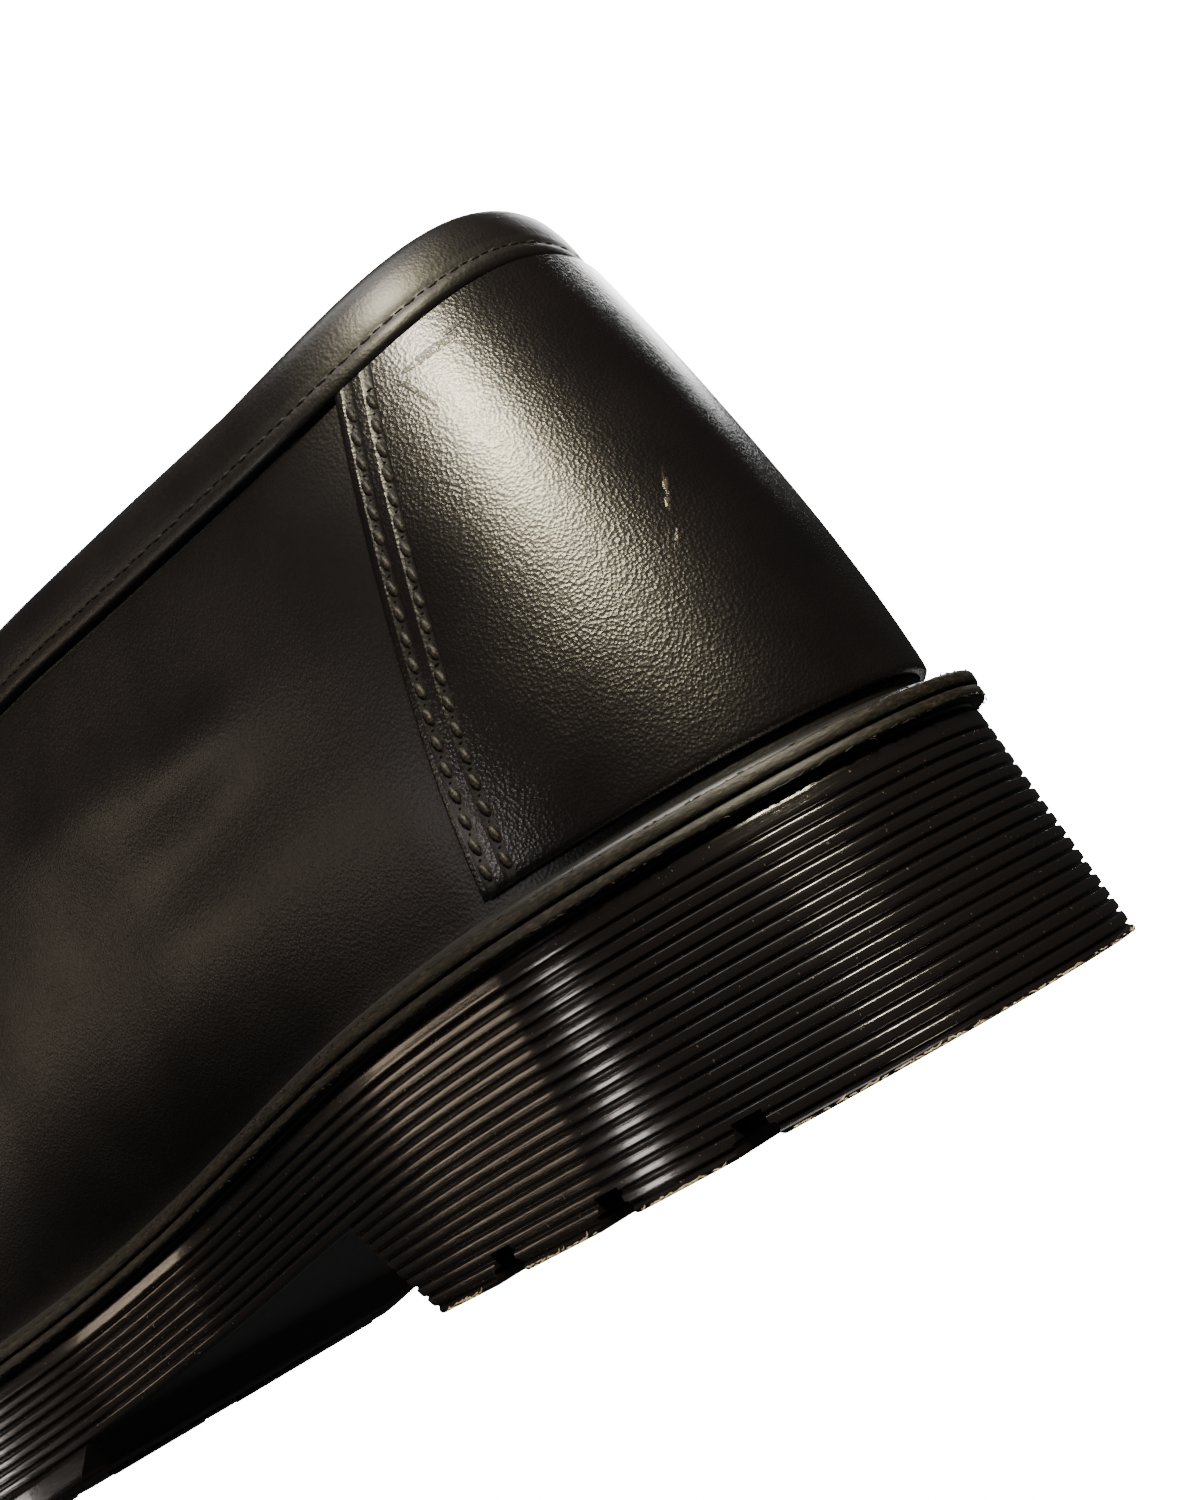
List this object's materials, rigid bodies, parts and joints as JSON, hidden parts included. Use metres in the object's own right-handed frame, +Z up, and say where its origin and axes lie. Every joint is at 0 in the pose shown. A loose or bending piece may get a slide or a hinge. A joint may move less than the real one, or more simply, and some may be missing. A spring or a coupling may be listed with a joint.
{
  "type": "loafer",
  "caption": "Right slip-on loafer of smooth black leather with a folded collar band and heel counter, on a ribbed rubber sole with heel, arch and lugged tread",
  "frame": {"origin": "middle of the shoe's box in plan, on the floor under the sole", "axes": "+X towards the toe, +Y towards the inner (medial) side of this right shoe, +Z up"},
  "size_m": [0.3008, 0.1038, 0.1078],
  "materials": {
    "sole_rubber": "glossy black-brown ribbed side, pebbled smoke-grey tread",
    "welt_rubber": "glossy black strip with a rounded bead",
    "upper_leather": "smooth black, soft shine, fine grain",
    "counter_leather": "smooth black, polished, fine grain, double dark stitching",
    "band_leather": "smooth black, folded and stitched along its lower edge",
    "insole_leather": "matt dark lining leather"
  },
  "bodies": {
    "root": {"outsole": "sole_rubber", "welt": "welt_rubber", "upper": "upper_leather", "heel_counter": "counter_leather", "collar_band": "band_leather", "insole": "insole_leather"}
  },
  "joints": []
}
